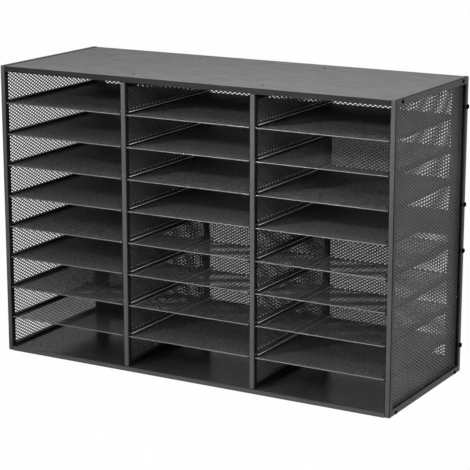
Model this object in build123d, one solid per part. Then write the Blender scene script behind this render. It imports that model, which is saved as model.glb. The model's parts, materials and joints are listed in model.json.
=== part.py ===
# Mail sorter: a free-standing steel cabinet with three columns of nine paper slots.
# Four mesh walls stand between a top board and a bottom board, two mesh panels close the back,
# and twenty-four mesh shelves slide in channel rails on the walls.
# Units are millimetres. X runs along the width, Y from front to back, Z up.
# The origin is on the floor, under the middle of the cabinet.

import math
import os

from build123d import *

# Overall size of the cabinet
width = 785.0
depth = 300.0
height = 536.0
column_count = 3
row_count = 9

# Boards
top_thickness = 10.0
top_drop = 1.0
bottom_thickness = 8.0

# Steel channels that frame every wall
wall_width = 10.0
channel_steel = 1.2
side_post_depth = 10.0
side_rail_height = 12.0
divider_flange = 10.0

# Back panels
back_thickness = 10.0
back_bar = 16.5

# Expanded metal, drawn as a coarse diamond net
mesh_thickness = 1.0
mesh_overlap = 3.0
mesh_border = 5.0
wall_long_way = 45.0
wall_short_way = 22.5
shelf_long_way = 56.0
shelf_short_way = 28.0
mesh_strand = 6.0
weld_edge = 0.4
weld_height = 1.0
welds_per_post = 5

# Shelf rails and shelves
rail_height = 9.0
rail_depth = 6.5
rail_steel = 1.0
rail_setback = 2.0
rim = 3.0
shelf_setback = 0.5
shelf_rear_gap = 0.5
shelf_side_gap = 1.0
shelf_seat_gap = 0.3

# Screws
screw_diameter = 3.5
screw_clearance = 0.2
screw_tip_room = 1.0
head_rounding = 0.8
board_head_diameter = 7.0
board_head_height = 2.0
board_head_sink = 0.3
board_screw_length = 13.0
board_screw_inset = 36.0
side_head_diameter = 6.5
side_head_height = 1.5
side_screw_length = 28.0
side_screw_inset = 25.0
back_head_diameter = 9.0
back_head_height = 3.0
back_screw_length = 16.0
back_screw_from_end = 42.0
back_screw_from_middle = 42.0

# Places worked out from the sizes above
right_face = width / 2
front_face = -depth / 2
back_face = depth / 2
inner_width = width - 2 * wall_width
slot_width = (width - (column_count + 1) * wall_width) / column_count
wall_pitch = slot_width + wall_width
top_under = height - top_drop - top_thickness
bay_height = top_under - bottom_thickness
bay_middle = (top_under + bottom_thickness) / 2
row_pitch = bay_height / row_count
divider_depth = depth - back_thickness
divider_y = front_face + divider_depth / 2
back_y = back_face - back_thickness / 2
back_panel_height = bay_height / 2
top_level = height - top_drop
hole_diameter = screw_diameter + screw_clearance
low = (Align.CENTER, Align.CENTER, Align.MIN)
high = (Align.CENTER, Align.CENTER, Align.MAX)


def wall_x(index):
    return -width / 2 + wall_width / 2 + index * wall_pitch


def shelf_z(level):
    return bottom_thickness + level * row_pitch


def facing(point, direction):
    return Plane(origin=point, z_dir=direction).location


# A rectangular ring of U-channel, open towards its middle, thin along X
def channel_ring(thickness, span, tall, span_flange, tall_flange):
    outside = Box(thickness, span, tall)
    window = Box(thickness, span - 2 * span_flange, tall - 2 * tall_flange)
    groove = Box(thickness - 2 * channel_steel, span - 2 * channel_steel, tall - 2 * channel_steel)
    return outside - window - groove


# A flat diamond net with a plain border, thin along X, its long diamonds lying along Y
def diamond_net(span, tall, border, wanted_long_way, wanted_short_way):
    across = max(1, round((span - 2 * border) / wanted_long_way))
    up = max(1, round((tall - 2 * border) / wanted_short_way))
    long_way = (span - 2 * border) / across
    short_way = (tall - 2 * border) / up
    spacing = long_way * short_way / math.hypot(long_way, short_way)
    opening = 1 - mesh_strand / spacing
    half_long = opening * long_way / 2
    half_short = opening * short_way / 2
    middles = [(i + 0.5, j + 0.5) for i in range(across) for j in range(up)]
    middles += [(i, j) for i in range(1, across) for j in range(1, up)]
    gaps = []
    for i, j in middles:
        y = -across * long_way / 2 + i * long_way
        z = -up * short_way / 2 + j * short_way
        corners = [(y - half_long, z), (y, z - half_short), (y + half_long, z), (y, z + half_short)]
        gaps.append(Wire.make_polygon([(0, *corner) for corner in corners]))
    edge = [(-span / 2, -tall / 2), (span / 2, -tall / 2), (span / 2, tall / 2), (-span / 2, tall / 2)]
    sheet = Face(Wire.make_polygon([(0, *corner) for corner in edge]), gaps)
    return Pos(-mesh_thickness / 2, 0, 0) * extrude(sheet, amount=mesh_thickness, dir=(1, 0, 0))


# A mesh panel whose border reaches past the mouth of its channel ring
def ring_mesh(span, tall, span_flange, tall_flange):
    panel_span = span - 2 * span_flange + 2 * mesh_overlap
    panel_tall = tall - 2 * tall_flange + 2 * mesh_overlap
    return diamond_net(panel_span, panel_tall, mesh_overlap + mesh_border, wall_long_way, wall_short_way)


# A screw along Z with its seat at zero, the head above and the shank below
def pan_screw(head_diameter, head_height, length):
    head = Cylinder(head_diameter / 2, head_height, align=low)
    head = fillet(head.edges().group_by(Axis.Z)[-1], head_rounding * head_height)
    return head + Cylinder(screw_diameter / 2, length, align=high)


def screw_hole(length):
    return Cylinder(hole_diameter / 2, length + screw_tip_room, align=high)


# Where the screws go
board_screw_ys = [front_face + board_screw_inset, back_face - board_screw_inset]
divider_xs = [wall_x(index) for index in range(1, column_count)]
side_screw_ys = [front_face + side_screw_inset, back_face - side_screw_inset]
side_screw_zs = [bottom_thickness / 2, top_level - top_thickness / 2]
back_screw_zs = [
    bottom_thickness + back_screw_from_end,
    bay_middle - back_screw_from_middle,
    bay_middle + back_screw_from_middle,
    top_under - back_screw_from_end,
]
board_head_depth = board_head_height + board_head_sink
board_screw_places = [(x, y) for x in divider_xs for y in board_screw_ys]
top_screw_spots = [facing((x, y, top_level - board_head_depth), (0, 0, 1)) for x, y in board_screw_places]
bottom_screw_spots = [facing((x, y, board_head_depth), (0, 0, -1)) for x, y in board_screw_places]


def side_spots(side):
    return [facing((side * right_face, y, z), (side, 0, 0)) for y in side_screw_ys for z in side_screw_zs]


def back_spots(side):
    return [facing((side * right_face, back_y, z), (side, 0, 0)) for z in back_screw_zs]


# Screws and the holes they need
board_screw = pan_screw(board_head_diameter, board_head_height, board_screw_length)
board_recess = Cylinder(board_head_diameter / 2 + screw_clearance, board_head_depth, align=low)
board_hole = board_recess + screw_hole(board_screw_length)
side_screw = pan_screw(side_head_diameter, side_head_height, side_screw_length)
back_screw = pan_screw(back_head_diameter, back_head_height, back_screw_length)
side_hole = screw_hole(side_screw_length)
back_hole = screw_hole(back_screw_length)
both_side_spots = side_spots(-1) + side_spots(1)
both_back_spots = back_spots(-1) + back_spots(1)
side_holes = [spot * side_hole for spot in both_side_spots]

# Boards
top_board = Pos(0, 0, top_under) * Box(inner_width, depth, top_thickness, align=low)
top_board -= [spot * board_hole for spot in top_screw_spots] + side_holes
bottom_board = Box(inner_width, depth, bottom_thickness, align=low)
bottom_board -= [spot * board_hole for spot in bottom_screw_spots] + side_holes

# Side walls
side_ring = Pos(0, 0, height / 2) * channel_ring(wall_width, depth, height, side_post_depth, side_rail_height)
side_mesh = ring_mesh(depth, height, side_post_depth, side_rail_height)
weld = Cylinder(mesh_overlap / 2 - weld_edge, weld_height, align=low)
weld_y = depth / 2 - side_post_depth + mesh_overlap / 2
weld_z = height / 2 - side_rail_height + mesh_overlap / 2
weld_places = [(side * weld_y, -weld_z + step * 2 * weld_z / (welds_per_post - 1))
               for side in (-1, 1) for step in range(welds_per_post)]
weld_places += [(0, -weld_z), (0, weld_z)]


def side_frame(side):
    ring = Pos(side * (right_face - wall_width / 2), 0, 0) * side_ring
    return ring - side_holes - [spot * back_hole for spot in back_spots(side)]


# The mesh lies against the inner flange and carries a row of weld buttons on its outer face
def side_mesh_panel(side):
    x = side * (right_face - wall_width + channel_steel + mesh_thickness / 2)
    panel = Pos(x, 0, height / 2) * side_mesh
    face_x = x + side * mesh_thickness / 2
    return panel + [facing((face_x, y, height / 2 + z), (side, 0, 0)) * weld for y, z in weld_places]


# Dividers
divider_ring = channel_ring(wall_width, divider_depth, bay_height, divider_flange, divider_flange)
divider_mesh = ring_mesh(divider_depth, bay_height, divider_flange, divider_flange)


def divider_frame(x):
    ring = Pos(x, divider_y, bay_middle) * divider_ring
    return ring - [spot * screw_hole(board_screw_length) for spot in top_screw_spots + bottom_screw_spots]


# The mesh lies against the flange that faces away from the middle of the cabinet
def divider_mesh_panel(x):
    outward = math.copysign(1, x)
    seat = x + outward * (wall_width / 2 - channel_steel)
    return Pos(seat - outward * mesh_thickness / 2, divider_y, bay_middle) * divider_mesh


# Back panels, one above the other
back_ring = Rot(0, 0, 90) * channel_ring(back_thickness, inner_width, back_panel_height, back_bar, back_bar)
back_mesh = Rot(0, 0, 90) * ring_mesh(inner_width, back_panel_height, back_bar, back_bar)
back_levels = {
    "lower": bottom_thickness + back_panel_height / 2,
    "upper": top_under - back_panel_height / 2,
}


def back_frame(z):
    ring = Pos(0, back_y, z) * back_ring
    return ring - [spot * back_hole for spot in both_back_spots]


def back_mesh_panel(z):
    rear_seat = back_face - channel_steel
    return Pos(0, rear_seat - mesh_thickness / 2, z) * back_mesh


# A rail is a small channel lying on its side, open towards the slot
rail_length = divider_depth - rail_setback
rail_y = front_face + rail_setback + rail_length / 2
rail_drop = rim / 2 + shelf_seat_gap + rail_steel
rail_corner = (Align.MIN, Align.CENTER, Align.MIN)
rail_solid = Box(rail_depth, rail_length, rail_height, align=rail_corner)
rail_groove = Box(rail_depth, rail_length, rail_height - 2 * rail_steel, align=rail_corner)
rail_right = rail_solid - Pos(rail_steel, 0, rail_steel) * rail_groove
rail_left = Rot(0, 0, 180) * rail_right


def rail_set(wall, side):
    rail = rail_right if side > 0 else rail_left
    x = wall_x(wall) + side * wall_width / 2
    return [Pos(x, rail_y, shelf_z(level) - rail_drop) * rail for level in range(1, row_count)]


# A shelf is a diamond net welded into a square steel rim
shelf_width = slot_width - 2 * (rail_steel + shelf_side_gap)
shelf_depth = divider_depth - shelf_setback - shelf_rear_gap
shelf_y = front_face + shelf_setback + shelf_depth / 2
sheet_depth = shelf_depth - 2 * rim
sheet_width = shelf_width - 2 * rim
shelf_sheet = diamond_net(sheet_depth, sheet_width, mesh_border, shelf_long_way, shelf_short_way)
shelf_rim = Box(shelf_width, shelf_depth, rim) - Box(sheet_width, sheet_depth, rim)
shelf = shelf_rim + Rot(0, 90, 0) * shelf_sheet

nodes = {
    "top_board": top_board,
    "bottom_board": bottom_board,
    "left_side_frame": side_frame(-1),
    "right_side_frame": side_frame(1),
    "left_side_mesh": side_mesh_panel(-1),
    "right_side_mesh": side_mesh_panel(1),
    "left_side_rails": Compound(children=rail_set(0, 1)),
    "right_side_rails": Compound(children=rail_set(column_count, -1)),
    "top_board_screws": Compound(children=[spot * board_screw for spot in top_screw_spots]),
    "bottom_board_screws": Compound(children=[spot * board_screw for spot in bottom_screw_spots]),
    "side_screws": Compound(children=[spot * side_screw for spot in both_side_spots]),
    "back_screws": Compound(children=[spot * back_screw for spot in both_back_spots]),
}
for name, z in back_levels.items():
    nodes[name + "_back_frame"] = back_frame(z)
    nodes[name + "_back_mesh"] = back_mesh_panel(z)
for wall, x in enumerate(divider_xs, start=1):
    nodes[f"divider_{wall}_frame"] = divider_frame(x)
    nodes[f"divider_{wall}_mesh"] = divider_mesh_panel(x)
    nodes[f"divider_{wall}_left_rails"] = Compound(children=rail_set(wall, -1))
    nodes[f"divider_{wall}_right_rails"] = Compound(children=rail_set(wall, 1))
for column in range(column_count):
    shelf_x = (wall_x(column) + wall_x(column + 1)) / 2
    for level in range(1, row_count):
        nodes[f"shelf_{column + 1}_{level}"] = Pos(shelf_x, shelf_y, shelf_z(level)) * shelf

os.makedirs("parts", exist_ok=True)
for name, shape in nodes.items():
    export_step(shape, f"parts/{name}.step")
    print(name, len(shape.solids()), "solids")
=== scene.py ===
# Mail sorter: steel channels and expanded metal in black powder coat, boards in wood-grain laminate
import json
import math

import bmesh
import bpy
from mathutils import Matrix, Vector


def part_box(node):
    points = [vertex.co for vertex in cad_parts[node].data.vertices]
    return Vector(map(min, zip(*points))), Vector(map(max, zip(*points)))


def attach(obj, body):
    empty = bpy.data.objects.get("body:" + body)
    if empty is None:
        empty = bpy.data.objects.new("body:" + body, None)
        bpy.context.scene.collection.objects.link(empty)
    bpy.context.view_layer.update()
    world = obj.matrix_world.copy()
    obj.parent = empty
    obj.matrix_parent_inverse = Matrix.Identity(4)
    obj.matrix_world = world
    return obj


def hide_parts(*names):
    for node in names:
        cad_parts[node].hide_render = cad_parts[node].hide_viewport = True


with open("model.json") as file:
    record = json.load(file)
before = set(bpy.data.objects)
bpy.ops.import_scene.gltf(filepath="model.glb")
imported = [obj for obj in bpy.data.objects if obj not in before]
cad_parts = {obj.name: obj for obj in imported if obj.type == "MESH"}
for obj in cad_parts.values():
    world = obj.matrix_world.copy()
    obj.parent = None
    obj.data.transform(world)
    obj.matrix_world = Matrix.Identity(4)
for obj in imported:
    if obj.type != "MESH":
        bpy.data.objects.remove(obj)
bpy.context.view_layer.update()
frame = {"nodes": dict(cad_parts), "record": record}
mm = 0.001
record = frame["record"]
bodyOf = {node: body for body, nodes in record["behaviour"]["bodies"].items() for node in nodes}
print("frame loaded:", len(frame["nodes"]), "nodes")


def linear(hexText):  # sRGB hex to the linear colour that shaders take
    shares = [int(hexText[place:place + 2], 16) / 255 for place in (1, 3, 5)]
    return [c / 12.92 if c <= 0.04045 else ((c + 0.055) / 1.055) ** 2.4 for c in shares] + [1.0]


def newMaterial(name):
    material = bpy.data.materials.new(name)
    material.use_nodes = True
    material.node_tree.nodes.clear()
    return material


def addNode(tree, kind, settings=None, links=None):
    node = tree.nodes.new(kind)
    for name, value in (settings or {}).items():
        if name in node.inputs:
            node.inputs[name].default_value = value
        else:
            setattr(node, name, value)
    for name, source in (links or {}).items():
        tree.links.new(source, node.inputs[name])
    return node


def setStops(ramp, stops):
    while len(ramp.color_ramp.elements) < len(stops):
        ramp.color_ramp.elements.new(0.5)
    for element, (place, hexText) in zip(ramp.color_ramp.elements, stops):
        element.position = place
        element.color = linear(hexText)


# Where a noise texture's values mostly lie, and where the two tones of a finish stand on them
noiseSpan = (0.3, 0.7)
toneStops = (0.35, 0.65)

# Polyester powder baked on steel: near black, satin, with a faint orange-peel skin
coat = {
    "peel": 1.6 * mm,  # the real skin is about 0.6 mm, drawn coarser so that it shows
    "peelDepth": 0.03 * mm,
    "peelStrength": 0.5,
    "frame": {  # posts and bars, evenly sprayed
        "tones": ("#505051", "#59595a"), "roughness": (0.40, 0.50), "specular": 0.08, "drift": 90 * mm,
    },
    "inner": {  # painted shade: matt black on the inner flanges, in the side frames' pressed lines and on the rails
        "tones": ("#1a1a1b", "#222223"), "roughness": (0.55, 0.65), "specular": 0.05, "drift": 90 * mm,
    },
    "mesh": {
        "tones": ("#585859", "#646465"), "roughness": (0.38, 0.48), "specular": 0.18, "drift": 90 * mm,
    },
    "shelf": {  # an uneven coat, the tone changes every few strands
        "tones": ("#2c2c2d", "#545455"), "roughness": (0.42, 0.52), "specular": 0.2, "drift": 5 * mm,
    },
    "wire": {  # lighter than the frame coat, a painted highlight along the shelves' rim wires, and glossier
        "tones": ("#5e5e5f", "#6a6a6b"), "roughness": (0.30, 0.40), "specular": 0.5, "drift": 90 * mm,
    },
}


def powderCoat(name, finish):
    material = newMaterial(name)
    tree = material.node_tree
    place = addNode(tree, "ShaderNodeTexCoord").outputs["Object"]
    peel = addNode(tree, "ShaderNodeTexNoise", {
        "Scale": 1 / coat["peel"], "Detail": 2.0,
    }, {"Vector": place})
    drift = addNode(tree, "ShaderNodeTexNoise", {
        "Scale": 1 / finish["drift"], "Detail": 3.0,
    }, {"Vector": place})
    tone = addNode(tree, "ShaderNodeValToRGB", {}, {"Fac": drift.outputs["Fac"]})
    setStops(tone, list(zip(toneStops, finish["tones"])))
    gloss = addNode(tree, "ShaderNodeMapRange", {
        "From Min": noiseSpan[0], "From Max": noiseSpan[1],
        "To Min": finish["roughness"][0], "To Max": finish["roughness"][1],
    }, {"Value": peel.outputs["Fac"]})
    skin = addNode(tree, "ShaderNodeBump", {
        "Strength": coat["peelStrength"], "Distance": coat["peelDepth"],
    }, {"Height": peel.outputs["Fac"]})
    shader = addNode(tree, "ShaderNodeBsdfPrincipled", {
        "IOR": 1.5, "Specular IOR Level": finish["specular"],
    }, {
        "Base Color": tone.outputs["Color"],
        "Roughness": gloss.outputs["Result"],
        "Normal": skin.outputs["Normal"],
    })
    addNode(tree, "ShaderNodeOutputMaterial", {}, {"Surface": shader.outputs["BSDF"]})
    return material


# Melamine laminate printed with wood grain: fine streaks, matt grey on top, dark and smoother at the bottom
laminate = {
    "streakLength": 55 * mm,
    "streakWidth": 3.5 * mm,  # the print's own lines are about 1 mm, drawn wider so that they show
    "poreLength": 26 * mm,
    "poreWidth": 1.1 * mm,
    "poreStrength": 0.6,
    "toneStops": (0.32, 0.5, 0.68),
    "faceFrom": (0.5, 0.8),  # how upright the surface is where the edge tone ends and the face tone begins
    "top": {  # the upright edges are darker than the face
        "face": ("#585858", "#6b6b6b", "#7e7e7e"), "edge": ("#232324", "#29292a", "#2f2f30"),
        "roughness": (0.55, 0.68), "specular": 0.1, "poreDepth": 0.04 * mm,
    },
    "bottom": {
        "face": ("#2b2b2c", "#313132", "#383839"), "edge": ("#3c3c3d", "#424243", "#494949"),
        "roughness": (0.15, 0.24), "specular": 0.5, "poreDepth": 0.01 * mm,
    },
}


def woodLaminate(name, finish):
    material = newMaterial(name)
    tree = material.node_tree
    coords = addNode(tree, "ShaderNodeTexCoord")
    place = coords.outputs["Object"]
    across = 1 / laminate["streakWidth"]
    stretch = addNode(tree, "ShaderNodeMapping", {
        "Scale": (1 / laminate["streakLength"], across, across),
    }, {"Vector": place})
    streaks = addNode(tree, "ShaderNodeTexNoise", {
        "Scale": 1.0, "Detail": 5.0, "Roughness": 0.62, "Distortion": 0.35,
    }, {"Vector": stretch.outputs["Vector"]})
    tones = []
    for colours in (finish["edge"], finish["face"]):
        tone = addNode(tree, "ShaderNodeValToRGB", {}, {"Fac": streaks.outputs["Fac"]})
        setStops(tone, list(zip(laminate["toneStops"], colours)))
        tones.append(tone.outputs["Color"])
    facing = addNode(tree, "ShaderNodeSeparateXYZ", {}, {0: coords.outputs["Normal"]})
    upright = addNode(tree, "ShaderNodeMath", {"operation": "ABSOLUTE"}, {0: facing.outputs["Z"]})
    isFace = addNode(tree, "ShaderNodeMapRange", {
        "From Min": laminate["faceFrom"][0], "From Max": laminate["faceFrom"][1],
    }, {"Value": upright.outputs["Value"]})
    colour = addNode(tree, "ShaderNodeMix", {"data_type": "RGBA"}, {
        0: isFace.outputs["Result"], 6: tones[0], 7: tones[1],
    })
    poreAcross = 1 / laminate["poreWidth"]
    poreStretch = addNode(tree, "ShaderNodeMapping", {
        "Scale": (1 / laminate["poreLength"], poreAcross, poreAcross),
    }, {"Vector": place})
    pores = addNode(tree, "ShaderNodeTexNoise", {
        "Scale": 1.0, "Detail": 2.0,
    }, {"Vector": poreStretch.outputs["Vector"]})
    gloss = addNode(tree, "ShaderNodeMapRange", {
        "From Min": noiseSpan[0], "From Max": noiseSpan[1],
        "To Min": finish["roughness"][0], "To Max": finish["roughness"][1],
    }, {"Value": pores.outputs["Fac"]})
    grain = addNode(tree, "ShaderNodeBump", {
        "Strength": laminate["poreStrength"], "Distance": finish["poreDepth"],
    }, {"Height": pores.outputs["Fac"]})
    shader = addNode(tree, "ShaderNodeBsdfPrincipled", {
        "IOR": 1.45, "Specular IOR Level": finish["specular"],
    }, {
        "Base Color": colour.outputs[2],
        "Roughness": gloss.outputs["Result"],
        "Normal": grain.outputs["Normal"],
    })
    addNode(tree, "ShaderNodeOutputMaterial", {}, {"Surface": shader.outputs["BSDF"]})
    return material


# Steel parts with a finish of their own, and a painted highlight on the rail lips, clouded over a few
# millimetres
steel = {
    "patch": 2.5 * mm,
    "screw": {  # blackened in a bath, with no shine
        "tones": ("#0b0b0c", "#131314"), "roughness": (0.50, 0.62), "metallic": 0.0, "specular": 0.0,
    },
    "lip": {  # near white, a painted highlight along the divider rails' lips
        "tones": ("#f0f0f2", "#fbfbfc"), "roughness": (0.30, 0.42), "metallic": 0.15, "specular": 0.5,
    },
    "weld": {  # bare grey metal
        "tones": ("#77777a", "#8f8f92"), "roughness": (0.38, 0.52), "metallic": 1.0, "specular": 0.5,
    },
}


def cloudedSteel(name, finish):
    material = newMaterial(name)
    tree = material.node_tree
    place = addNode(tree, "ShaderNodeTexCoord").outputs["Object"]
    patch = addNode(tree, "ShaderNodeTexNoise", {
        "Scale": 1 / steel["patch"], "Detail": 3.0,
    }, {"Vector": place})
    tone = addNode(tree, "ShaderNodeValToRGB", {}, {"Fac": patch.outputs["Fac"]})
    setStops(tone, list(zip(toneStops, finish["tones"])))
    gloss = addNode(tree, "ShaderNodeMapRange", {
        "From Min": noiseSpan[0], "From Max": noiseSpan[1],
        "To Min": finish["roughness"][0], "To Max": finish["roughness"][1],
    }, {"Value": patch.outputs["Fac"]})
    shader = addNode(tree, "ShaderNodeBsdfPrincipled", {
        "Metallic": finish["metallic"], "Specular IOR Level": finish["specular"],
    }, {
        "Base Color": tone.outputs["Color"],
        "Roughness": gloss.outputs["Result"],
    })
    addNode(tree, "ShaderNodeOutputMaterial", {}, {"Surface": shader.outputs["BSDF"]})
    return material


frameCoat = powderCoat("black_powder_coat_on_channel", coat["frame"])
# painted shade for the flanges that face the slots, the pressed lines and the rails
paintedShadeCoat = powderCoat("matt_black_powder_coat_on_inner_flange", coat["inner"])
meshCoat = powderCoat("black_powder_coat_on_expanded_metal", coat["mesh"])
shelfCoat = powderCoat("black_powder_coat_on_shelf_mesh", coat["shelf"])
wireHighlightCoat = powderCoat("painted_highlight_coat_on_wire", coat["wire"])
topLaminate = woodLaminate("grey_wood_grain_laminate", laminate["top"])
bottomLaminate = woodLaminate("black_wood_grain_laminate", laminate["bottom"])
screwSteel = cloudedSteel("blackened_screw_steel", steel["screw"])
lipHighlightSteel = cloudedSteel("painted_highlight_on_rail_lip", steel["lip"])
weldSteel = cloudedSteel("bare_weld_steel", steel["weld"])
print("materials made")


# Turn a finished bmesh into a piece that stands for a node and moves with its body
def addPiece(name, mesh, node):
    piece = bpy.data.objects.new(name, mesh)
    bpy.context.scene.collection.objects.link(piece)
    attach(piece, bodyOf[node])
    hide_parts(node)


def meshFrom(bm, name, materials, roundUnder=None):
    mesh = bpy.data.meshes.new(name)
    bm.to_mesh(mesh)
    bm.free()
    for material in materials:
        mesh.materials.append(material)
    if roundUnder:  # faces that meet at less than this angle shade as one curve
        mesh.shade_smooth()
        mesh.set_sharp_from_angle(angle=math.radians(roundUnder))
    return mesh


squareOn = 0.9  # a face whose normal has this much along an axis lies square to it


def middleAndSize(node):
    low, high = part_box(node)
    return (low + high) / 2, high - low


def along(axis, value):
    spot = Vector((0, 0, 0))
    spot[axis] = value
    return spot


# Boards keep their solids and get softened edges
boardEdge = {"radius": 0.8 * mm, "segments": 2, "sharpOver": 50, "joinUnder": 0.01 * mm}
for node, material in (("top_board", topLaminate), ("bottom_board", bottomLaminate)):
    board = frame["nodes"][node]
    board.data.materials.clear()
    board.data.materials.append(material)
    weld = board.modifiers.new("joinedCorners", "WELD")
    weld.merge_threshold = boardEdge["joinUnder"]
    edge = board.modifiers.new("softEdge", "BEVEL")
    edge.width = boardEdge["radius"]
    edge.segments = boardEdge["segments"]
    edge.limit_method = "ANGLE"
    edge.angle_limit = math.radians(boardEdge["sharpOver"])
print("boards dressed")

# Rings of folded U-channel
channel = {
    "steel": 1.2 * mm,
    "bend": 2.2 * mm,
    "bendSteps": 3,
    "foldSlant": 0.5,  # a fold's middle strip has more than this of its normal both ways
    "grooveInset": 0.08 * mm,  # a pressed line along each fold
    "grooveDepth": 1.0 * mm,
    "grooveSlant": (0.6, 0.8),  # share of the normal across the wall, in the pressed line
    "sideFlanges": (10 * mm, 12 * mm),  # of the uprights and of the bars
    "dividerFlanges": (10 * mm, 10 * mm),
    "backFlanges": (16.5 * mm, 16.5 * mm),
    "roundUnder": 40,
}


def channelRing(thickness, span, tall, flanges, grooved):
    bm = bmesh.new()
    bmesh.ops.create_cube(bm, size=1.0, matrix=Matrix.Diagonal((thickness, span, tall, 1)))
    bmesh.ops.bevel(bm, geom=bm.edges[:], offset=channel["bend"], segments=channel["bendSteps"],
                    affect="EDGES", profile=0.5, material=-1)
    if grooved:
        slant = channel["foldSlant"]
        folds = [face for face in bm.faces if abs(face.normal.x) > slant and face.normal.yz.length > slant]
        bmesh.ops.inset_region(bm, faces=folds, thickness=channel["grooveInset"],
                               depth=-channel["grooveDepth"], use_even_offset=True)
    mouth = (span / 2 - flanges[0], tall / 2 - flanges[1])
    for axis in (1, 2):
        for side in (-1, 1):
            everything = bm.verts[:] + bm.edges[:] + bm.faces[:]
            cut = along(axis, side * mouth[axis - 1])
            bmesh.ops.bisect_plane(bm, geom=everything, plane_co=cut, plane_no=cut.normalized())
    window = []
    for face in bm.faces:
        spot = face.calc_center_median()
        if abs(face.normal.x) > squareOn and abs(spot.y) < mouth[0] and abs(spot.z) < mouth[1]:
            window.append(face)
    bmesh.ops.delete(bm, geom=window, context="FACES")
    bmesh.ops.solidify(bm, geom=bm.faces[:], thickness=channel["steel"])
    return bm


for node in sorted(frame["nodes"]):
    if not node.endswith("_frame"):
        continue
    middle, size = middleAndSize(node)
    isSide = node.endswith("_side_frame")
    if node.endswith("_back_frame"):
        bm = channelRing(size.y, size.x, size.z, channel["backFlanges"], False)
        turn = Matrix.Rotation(math.radians(90), 4, "Z")
    else:
        flanges = channel["sideFlanges" if isSide else "dividerFlanges"]
        bm = channelRing(size.x, size.y, size.z, flanges, True)
        turn = Matrix.Identity(4)
    bm.transform(Matrix.Translation(middle) @ turn)
    for face in bm.faces:  # painted shade, matt black, where a flange faces a slot and in the side frames' pressed lines
        across = abs(face.normal.x)
        looksIn = node.startswith("divider") or face.normal.x * middle.x < 0
        inGroove = isSide and channel["grooveSlant"][0] < across < channel["grooveSlant"][1]
        if inGroove or (across > squareOn and looksIn):
            face.material_index = 1
    name = node.replace("_frame", "_channel")
    addPiece(name, meshFrom(bm, name, [frameCoat, paintedShadeCoat], channel["roundUnder"]), node)
print("channel rings folded")

# Expanded metal: two crossing sets of slanted strands make the diamonds
expanded = {
    # the real diamonds are about 7 by 4 mm, drawn coarser so that they show, most where they are seen aslant
    "wall": {
        "longWay": 10.5 * mm, "shortWay": 6.0 * mm, "width": 2.05 * mm, "thickness": 0.5 * mm, "tilt": 4,
    },
    "back": {
        "longWay": 10.0 * mm, "shortWay": 5.7 * mm, "width": 2.2 * mm, "thickness": 0.5 * mm, "tilt": 15,
    },
    "sheet": 1.0 * mm,
    "border": 4 * mm,
    "borderThickness": 0.8 * mm,
    "weldRadius": 1.1 * mm,
    "weldTop": 0.6,  # share of the radius
    "weldSides": 12,
    "weldHeight": 1.0 * mm,
    "weldInset": 1.5 * mm,
    "weldsPerPost": 5,
}


def addStrands(bm, placement, halfLong, halfShort, strand):
    slope = math.atan2(strand["shortWay"], strand["longWay"])
    spacing = strand["longWay"] * math.sin(slope)
    reach = halfLong * math.sin(slope) + halfShort * math.cos(slope)
    count = int(reach / spacing)
    for angle in (-slope, slope):
        run = Vector((math.cos(angle), math.sin(angle), 0))
        step = Vector((-math.sin(angle), math.cos(angle), 0)) * spacing
        for place in range(-count, count + 1):
            base = step * place
            longEnds = ((-halfLong - base.x) / run.x, (halfLong - base.x) / run.x)
            shortEnds = ((-halfShort - base.y) / run.y, (halfShort - base.y) / run.y)
            start = max(min(longEnds), min(shortEnds))  # where the strand meets the panel's edge
            stop = min(max(longEnds), max(shortEnds))
            if stop - start < strand["width"]:
                continue
            seat = Matrix.Translation(base + run * (start + stop) / 2) @ Matrix.Rotation(angle, 4, "Z")
            # stretching leaves every strand leaning
            lean = Matrix.Rotation(math.radians(strand["tilt"]), 4, "X")
            section = Matrix.Diagonal((stop - start, strand["width"], strand["thickness"], 1))
            bmesh.ops.create_cube(bm, size=1.0, matrix=placement @ seat @ lean @ section)


def addBorder(bm, placement, long, short):
    spread = Matrix.Diagonal((long, short, 1, 1))
    bmesh.ops.create_grid(bm, x_segments=1, y_segments=1, size=0.5, matrix=spread)
    inner = bm.faces[:]
    bmesh.ops.inset_individual(bm, faces=inner, thickness=expanded["border"], use_even_offset=True)
    bmesh.ops.delete(bm, geom=inner, context="FACES")
    bmesh.ops.solidify(bm, geom=bm.faces[:], thickness=expanded["borderThickness"])
    heights = [vert.co.z for vert in bm.verts]
    bmesh.ops.translate(bm, verts=bm.verts[:], vec=(0, 0, -(min(heights) + max(heights)) / 2))
    bmesh.ops.transform(bm, matrix=placement, verts=bm.verts[:])


# Turns of a sheet: its x runs along the long way of the diamonds, y along the short way, z out of the sheet
wallTurn = Matrix(((0, 0, 1, 0), (1, 0, 0, 0), (0, 1, 0, 0), (0, 0, 0, 1)))
backTurn = Matrix(((1, 0, 0, 0), (0, 0, -1, 0), (0, 1, 0, 0), (0, 0, 0, 1)))


def addWelds(bm, sheetX, outward, size, middle):
    halfDeep = size.y / 2 - expanded["weldInset"]
    halfTall = size.z / 2 - expanded["weldInset"]
    gaps = expanded["weldsPerPost"] - 1
    heights = [-halfTall + step * 2 * halfTall / gaps for step in range(gaps + 1)]
    places = [(side * halfDeep, height) for side in (-1, 1) for height in heights]
    places += [(0, -halfTall), (0, halfTall)]
    radius = expanded["weldRadius"]
    buttonX = sheetX + outward * (expanded["sheet"] + expanded["weldHeight"]) / 2
    turn = Matrix.Rotation(math.radians(90 * outward), 4, "Y")
    for y, z in places:
        spot = Vector((buttonX, middle.y + y, middle.z + z))
        button = bmesh.ops.create_cone(bm, cap_ends=True, segments=expanded["weldSides"], radius1=radius,
                                       radius2=expanded["weldTop"] * radius, depth=expanded["weldHeight"],
                                       matrix=Matrix.Translation(spot) @ turn)
        for face in {face for vert in button["verts"] for face in vert.link_faces}:
            face.material_index = 1


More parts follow.
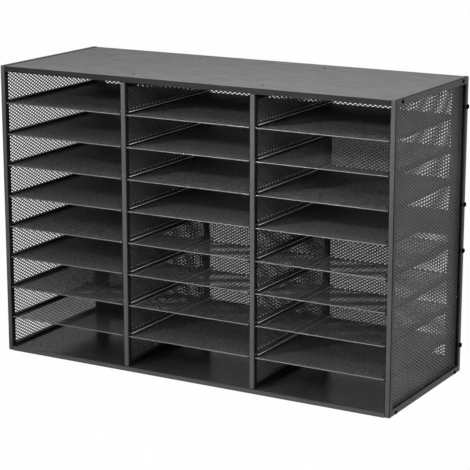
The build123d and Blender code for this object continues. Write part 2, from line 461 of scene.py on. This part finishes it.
for node in sorted(frame["nodes"]):
    if not node.endswith("_mesh"):
        continue
    middle, size = middleAndSize(node)
    bm = bmesh.new()
    inset = expanded["border"] / 2
    if node.endswith("_back_mesh"):
        placement = Matrix.Translation(middle) @ backTurn
        long, short = size.x, size.z
    else:
        outward = math.copysign(1, middle.x)
        low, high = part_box(node)
        sheetX = (low.x if outward > 0 else high.x) + outward * expanded["sheet"] / 2
        placement = Matrix.Translation((sheetX, middle.y, middle.z)) @ wallTurn
        long, short = size.y, size.z
    addBorder(bm, placement, long, short)
    strand = expanded["back" if node.endswith("_back_mesh") else "wall"]
    addStrands(bm, placement, long / 2 - inset, short / 2 - inset, strand)
    if node.endswith("_side_mesh"):
        addWelds(bm, sheetX, outward, size, middle)
    name = node + "_strands"
    addPiece(name, meshFrom(bm, name, [meshCoat, weldSteel]), node)
print("mesh panels stretched")

# Shelves: expanded metal in a round wire rim, the strands leaning to the front or to the back
shelf = {
    "wireRadius": 1.0 * mm,
    "wireSides": 12,
    "strand": {"longWay": 7.0 * mm, "shortWay": 4.0 * mm, "width": 1.33 * mm, "thickness": 0.2 * mm},
    "roundUnder": 40,
    "tilt": 16,  # lean of the strands in degrees
    "ownTilts": {  # most of these were put in the other way round
        "shelf_1_1": -36, "shelf_1_2": 11, "shelf_2_2": -31, "shelf_2_3": -29, "shelf_2_4": -27,
        "shelf_3_2": -36, "shelf_3_3": -30, "shelf_3_4": -28, "shelf_3_7": -26,
    },
}


def addWireRim(bm, halfWidth, halfDeep):
    radius = shelf["wireRadius"]
    loops = []
    for sideX, sideY in ((1, 1), (-1, 1), (-1, -1), (1, -1)):
        mitre = Matrix(((sideX, 0, 0, sideX * (halfWidth - radius)),
                        (sideY, 0, 0, sideY * (halfDeep - radius)),
                        (0, 1, 0, 0), (0, 0, 0, 1)))
        ring = bmesh.ops.create_circle(bm, cap_ends=False, radius=radius, segments=shelf["wireSides"],
                                       matrix=mitre)
        loops.append(list({edge for vert in ring["verts"] for edge in vert.link_edges}))
    for first, second in zip(loops, loops[1:] + loops[:1]):
        bmesh.ops.bridge_loops(bm, edges=first + second)
    bmesh.ops.recalc_face_normals(bm, faces=bm.faces[:])


shelfNodes = sorted(node for node in frame["nodes"] if node.startswith("shelf_"))
for node in shelfNodes:
    middle, size = middleAndSize(node)
    bm = bmesh.new()
    addWireRim(bm, size.x / 2, size.y / 2)
    # the rim wires get the painted highlight coat
    for face in bm.faces:
        face.material_index = 1
    strand = dict(shelf["strand"], tilt=shelf["ownTilts"].get(node, shelf["tilt"]))
    inset = shelf["wireRadius"]
    addStrands(bm, Matrix.Identity(4), size.x / 2 - inset, size.y / 2 - inset, strand)
    bm.transform(Matrix.Translation(middle))
    name = node + "_wire"
    addPiece(name, meshFrom(bm, name, [shelfCoat, wireHighlightCoat], shelf["roundUnder"]), node)
print("shelves made:", len(shelfNodes))

# Shelf rails: small folded channels, open towards the slot
rail = {
    "height": 9 * mm,
    "steel": 1.0 * mm,
    "bend": 1.6 * mm,
    "bendSteps": 2,
    "foldSlant": (0.1, 0.95),  # share of the normal that points up, on the upper fold
    "hemRadius": 0.8 * mm,
    "hemSides": 10,
    "levels": 8,
    "roundUnder": 40,
}


def addRail(bm, depth, length, turn, spot):
    one = bmesh.new()
    bmesh.ops.create_cube(one, size=1.0, matrix=Matrix.Diagonal((depth, length, rail["height"], 1)))
    wallEdges = [edge for edge in one.edges if all(vert.co.x < 0 for vert in edge.verts)]
    folds = [edge for edge in wallEdges if edge.verts[0].co.y * edge.verts[1].co.y < 0]
    bmesh.ops.bevel(one, geom=folds, offset=rail["bend"], segments=rail["bendSteps"],
                    affect="EDGES", profile=0.5, material=-1)
    openFaces = [face for face in one.faces if face.normal.x > squareOn or abs(face.normal.y) > squareOn]
    bmesh.ops.delete(one, geom=openFaces, context="FACES")
    bmesh.ops.solidify(one, geom=one.faces[:], thickness=rail["steel"])
    low, high = rail["foldSlant"]
    for face in one.faces:  # the upper fold gets the same painted highlight as the lips
        isHigh = face.calc_center_median().z > rail["height"] / 2 - rail["bend"]
        if low < face.normal.z < high and isHigh:
            face.material_index = 1
    hem = rail["hemRadius"]
    bmesh.ops.translate(one, verts=[vert for vert in one.verts if vert.co.x > 0], vec=(-hem, 0, 0))
    for side in (-1, 1):  # each lip ends in a rolled hem
        seat = Matrix.Translation((depth / 2 - hem, 0, side * (rail["height"] / 2 - hem)))
        roll = bmesh.ops.create_cone(one, cap_ends=True, segments=rail["hemSides"], radius1=hem, radius2=hem,
                                     depth=length, matrix=seat @ Matrix.Rotation(math.radians(90), 4, "X"))
        for face in {face for vert in roll["verts"] for face in vert.link_faces}:
            face.material_index = 0 if abs(face.normal.y) > squareOn else 1
    one.transform(Matrix.Translation(spot) @ turn)
    mesh = bpy.data.meshes.new("oneRail")
    one.to_mesh(mesh)
    one.free()
    bm.from_mesh(mesh)
    bpy.data.meshes.remove(mesh)


for node in sorted(frame["nodes"]):
    if not node.endswith("_rails"):
        continue
    middle, size = middleAndSize(node)
    opensLeft = node.endswith("_left_rails") or node == "right_side_rails"
    turn = Matrix.Rotation(math.radians(180 if opensLeft else 0), 4, "Z")
    lowest = middle.z - (size.z - rail["height"]) / 2
    pitch = (size.z - rail["height"]) / (rail["levels"] - 1)
    bm = bmesh.new()
    for level in range(rail["levels"]):
        addRail(bm, size.x, size.y, turn, Vector((middle.x, middle.y, lowest + level * pitch)))
    name = node.replace("_rails", "_runners")
    # a painted highlight on the divider rails' lips; the side rails' lips keep the frame coat
    lip = frameCoat if node.endswith("_side_rails") else lipHighlightSteel
    # the rail bodies and the hem ends take the painted shade coat
    addPiece(name, meshFrom(bm, name, [paintedShadeCoat, lip], rail["roundUnder"]), node)
print("rails folded")

# Screws with domed heads and a cross recess
screw = {
    "sides": 24,
    "shank": 1.75 * mm,
    "crossArm": 0.52,  # shares of the head's radius
    "crossWidth": 0.14,
    "crossDepth": 0.6,  # share of the head's height
    "flat": 0.62,
    "dome": ((0.86, 0.82), (0.97, 0.5), (1.0, 0.0)),  # shares of radius and height, from the flat down
    "roundUnder": 50,
    "board": {"radius": 3.5 * mm, "height": 2.0 * mm, "length": 13 * mm},
    "side": {"radius": 3.25 * mm, "height": 1.5 * mm, "length": 28 * mm},
    "back": {"radius": 4.5 * mm, "height": 3.0 * mm, "length": 16 * mm},
    "backFromMiddle": 42 * mm,
}


def oneScrew(kind):
    radius, height, length = kind["radius"], kind["height"], kind["length"]
    arm, wide = screw["crossArm"] * radius, screw["crossWidth"] * radius
    bm = bmesh.new()
    corners = [(arm, wide), (wide, wide), (wide, arm)]
    quarter = [Matrix.Rotation(math.radians(90 * step), 2) for step in range(4)]
    outline = [turn @ Vector(corner) for turn in quarter for corner in corners]
    cross = bm.faces.new([bm.verts.new((spot.x, spot.y, height)) for spot in outline])
    crossEdges = cross.edges[:]
    ring = bmesh.ops.create_circle(bm, cap_ends=False, radius=screw["flat"] * radius, segments=screw["sides"],
                                   matrix=Matrix.Translation((0, 0, height)))
    rim = list({edge for vert in ring["verts"] for edge in vert.link_edges})
    bmesh.ops.bridge_loops(bm, edges=crossEdges + rim)
    rings = [(share * radius, high * height) for share, high in screw["dome"]]
    rings += [(screw["shank"], 0.0), (screw["shank"], -length)]
    for ringRadius, ringHeight in rings:
        grown = bmesh.ops.extrude_edge_only(bm, edges=rim)["geom"]
        rim = [item for item in grown if isinstance(item, bmesh.types.BMEdge)]
        for vert in [item for item in grown if isinstance(item, bmesh.types.BMVert)]:
            flat = Vector((vert.co.x, vert.co.y)).normalized() * ringRadius
            vert.co = (flat.x, flat.y, ringHeight)
    bmesh.ops.edgeloop_fill(bm, edges=rim)
    sunk = bmesh.ops.extrude_face_region(bm, geom=[cross])["geom"]
    bmesh.ops.delete(bm, geom=[cross], context="FACES_ONLY")
    floor = [item for item in sunk if isinstance(item, bmesh.types.BMVert)]
    bmesh.ops.translate(bm, verts=floor, vec=(0, 0, -screw["crossDepth"] * height))
    bmesh.ops.recalc_face_normals(bm, faces=bm.faces[:])
    mesh = bpy.data.meshes.new("oneScrew")
    bm.to_mesh(mesh)
    bm.free()
    return mesh


def addScrews(node, kind, spots):
    pattern = oneScrew(kind)
    bm = bmesh.new()
    for spot, outward in spots:
        turned = pattern.copy()
        turned.transform(Matrix.Translation(spot) @ outward.to_track_quat("Z", "Y").to_matrix().to_4x4())
        bm.from_mesh(turned)
        bpy.data.meshes.remove(turned)
    bpy.data.meshes.remove(pattern)
    name = node.replace("_screws", "_screw_heads")
    addPiece(name, meshFrom(bm, name, [screwSteel], screw["roundUnder"]), node)


def screwSpots(node, kind, axis):
    low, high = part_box(node)
    radius = kind["radius"]
    spots = []
    others = [place for place in range(3) if place != axis]
    for first in (low[others[0]] + radius, high[others[0]] - radius):
        for second in (low[others[1]] + radius, high[others[1]] - radius):
            for side in (-1, 1):
                spot = Vector()
                spot[others[0]] = first
                spot[others[1]] = second
                spot[axis] = (low[axis] + kind["height"]) if side < 0 else (high[axis] - kind["height"])
                spots.append((spot, along(axis, side)))
    return spots


boardScrew = screw["board"]
topSpots = [pair for pair in screwSpots("top_board_screws", boardScrew, 2) if pair[1].z > 0]
bottomSpots = [pair for pair in screwSpots("bottom_board_screws", boardScrew, 2) if pair[1].z < 0]
addScrews("top_board_screws", boardScrew, topSpots)
addScrews("bottom_board_screws", boardScrew, bottomSpots)
addScrews("side_screws", screw["side"], screwSpots("side_screws", screw["side"], 0))
backLow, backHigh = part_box("back_screws")
backMiddle = (backLow.z + backHigh.z) / 2
backSpots = []
for side, face in ((-1, backLow.x + screw["back"]["height"]), (1, backHigh.x - screw["back"]["height"])):
    ends = (backLow.z + screw["back"]["radius"], backHigh.z - screw["back"]["radius"])
    inner = (backMiddle - screw["backFromMiddle"], backMiddle + screw["backFromMiddle"])
    for z in ends + inner:
        backSpots.append((Vector((face, (backLow.y + backHigh.y) / 2, z)), along(0, side)))
addScrews("back_screws", screw["back"], backSpots)
print("screws turned")

# Stage: a pale sweep, soft light from above, from the front, from the front left and from the right
stage = {
    "floorSize": 40.0,
    "floorTone": "#c8c8c8",
    "floorWhite": 0.985,  # how far the camera sees the floor as plain white
    "worldStrength": 0.44,
}


def paperFloor():
    material = newMaterial("white_paper_sweep")
    tree = material.node_tree
    ray = addNode(tree, "ShaderNodeLightPath")
    paper = addNode(tree, "ShaderNodeBsdfDiffuse", {"Color": linear(stage["floorTone"])})
    white = addNode(tree, "ShaderNodeEmission", {"Strength": 1.0})
    seen = addNode(tree, "ShaderNodeMath", {"operation": "MAXIMUM"}, {
        0: ray.outputs["Is Camera Ray"], 1: ray.outputs["Is Glossy Ray"],
    })
    share = addNode(tree, "ShaderNodeMath", {"operation": "MULTIPLY"}, {0: seen.outputs["Value"]})
    share.inputs[1].default_value = stage["floorWhite"]
    mixed = addNode(tree, "ShaderNodeMixShader", {}, {
        0: share.outputs["Value"], 1: paper.outputs["BSDF"], 2: white.outputs["Emission"],
    })
    addNode(tree, "ShaderNodeOutputMaterial", {}, {"Surface": mixed.outputs["Shader"]})
    return material


bm = bmesh.new()
bmesh.ops.create_grid(bm, x_segments=1, y_segments=1, size=stage["floorSize"] / 2)
floor = bpy.data.objects.new("floor", meshFrom(bm, "floor", [paperFloor()]))
bpy.context.scene.collection.objects.link(floor)

world = bpy.data.worlds.new("studio")
bpy.context.scene.world = world
world.use_nodes = True
world.node_tree.nodes.clear()
ray = addNode(world.node_tree, "ShaderNodeLightPath")
dim = addNode(world.node_tree, "ShaderNodeBackground", {"Strength": stage["worldStrength"]})
bright = addNode(world.node_tree, "ShaderNodeBackground", {"Strength": 1.0})
for background in (dim, bright):
    background.inputs["Color"].default_value = (1, 1, 1, 1)
seen = addNode(world.node_tree, "ShaderNodeMath", {"operation": "MAXIMUM"}, {
    0: ray.outputs["Is Camera Ray"], 1: ray.outputs["Is Glossy Ray"],
})
mixed = addNode(world.node_tree, "ShaderNodeMixShader", {}, {
    0: seen.outputs["Value"], 1: dim.outputs["Background"], 2: bright.outputs["Background"],
})
addNode(world.node_tree, "ShaderNodeOutputWorld", {}, {"Surface": mixed.outputs["Shader"]})

softboxes = [  # spread is how far a grid lets the light fan out
    {
        "name": "top", "at": (0.4, -0.7, 1.5), "aim": (0.1, 0, 0.5),
        "size": (0.9, 0.7), "watts": 9.5, "spread": 180,
    },
    {
        "name": "frontLeft", "at": (-0.75, -1.55, 1.13), "aim": (0.3, 0, 0.3),
        "size": (0.18, 0.18), "watts": 1.5, "spread": 44,
    },
    {
        "name": "front", "at": (0.05, -1.3, 0.85), "aim": (0.2, 0, 0.27),
        "size": (0.4, 0.4), "watts": 3.0, "spread": 180,
    },
    {
        "name": "right", "at": (2.2, -0.6, 0.9), "aim": (0, 0, 0.27),
        "size": (1.0, 1.0), "watts": 1.2, "spread": 180,
    },
]
for box in softboxes:
    light = bpy.data.lights.new(box["name"], "AREA")
    light.shape = "RECTANGLE"
    light.size, light.size_y = box["size"]
    light.energy = box["watts"]
    light.spread = math.radians(box["spread"])
    lamp = bpy.data.objects.new(box["name"], light)
    lamp.location = box["at"]
    lamp.rotation_euler = (Vector(box["aim"]) - lamp.location).to_track_quat("-Z", "Y").to_euler()
    bpy.context.scene.collection.objects.link(lamp)

# Camera: metres, degrees and millimetres
view = {"at": (1.576, -2.735, 1.000), "turn": (76.40, 0, 29.79), "lens": 137.53}
camera = bpy.data.objects.new("camera", bpy.data.cameras.new("camera"))
camera.location = view["at"]
camera.rotation_euler = [math.radians(angle) for angle in view["turn"]]
camera.data.lens = view["lens"]
bpy.context.scene.collection.objects.link(camera)
bpy.context.scene.camera = camera
bpy.context.scene.view_settings.view_transform = "Standard"
print("stage set")
